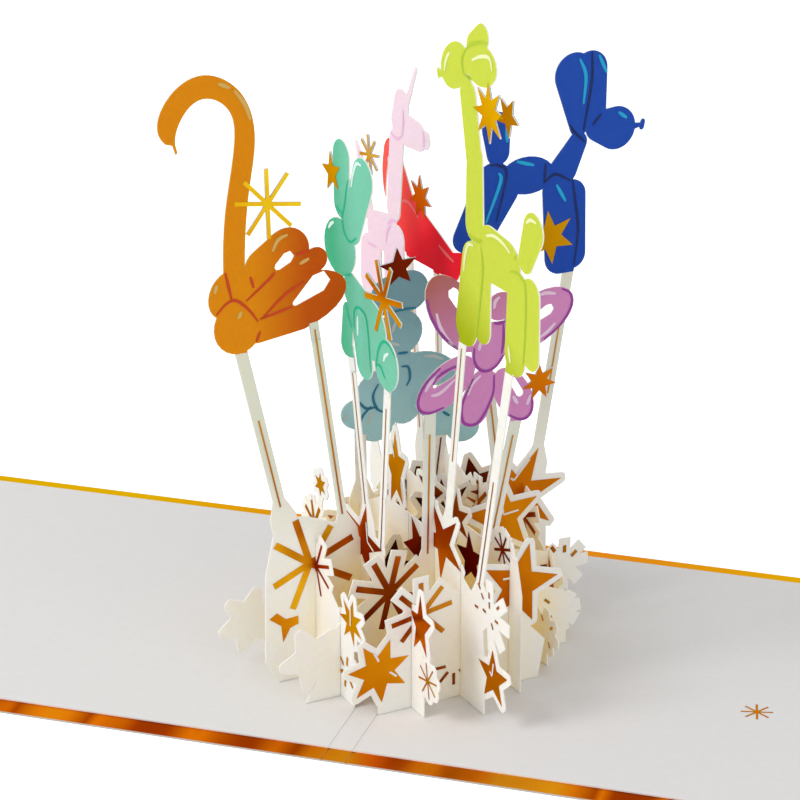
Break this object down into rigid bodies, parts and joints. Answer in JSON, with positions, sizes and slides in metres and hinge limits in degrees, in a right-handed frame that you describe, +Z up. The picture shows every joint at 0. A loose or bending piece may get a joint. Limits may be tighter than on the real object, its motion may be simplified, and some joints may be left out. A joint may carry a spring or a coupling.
{
  "type": "pop up card",
  "caption": "Opened pop-up greeting card: a folded cover and liner carry a lattice of slotted die-cut slats with balloon animals on stems and foil stars.",
  "frame": {"origin": "middle of the spine on the underside of the opened card", "axes": "+X across the opened card to the right, +Y along the spine away from the reader, +Z up"},
  "size_m": [0.372, 0.1332, 0.1717],
  "materials": {
    "cover": "board faced with gold foil",
    "liner": "laid paper",
    "slat_card": "matt white card"
  },
  "bodies": {
    "root": {"cover": "cover", "liner": "liner", "swan_slat": "slat_card", "butterfly_slat": "slat_card", "dog_slat": "slat_card", "bear_slat": "slat_card", "rabbit_slat": "slat_card", "giraffe_slat": "slat_card", "unicorn_slat": "slat_card", "bird_slat": "slat_card", "near_right_star_slat": "slat_card", "near_left_star_slat": "slat_card", "far_left_star_slat": "slat_card", "far_right_star_slat": "slat_card"}
  },
  "joints": []
}
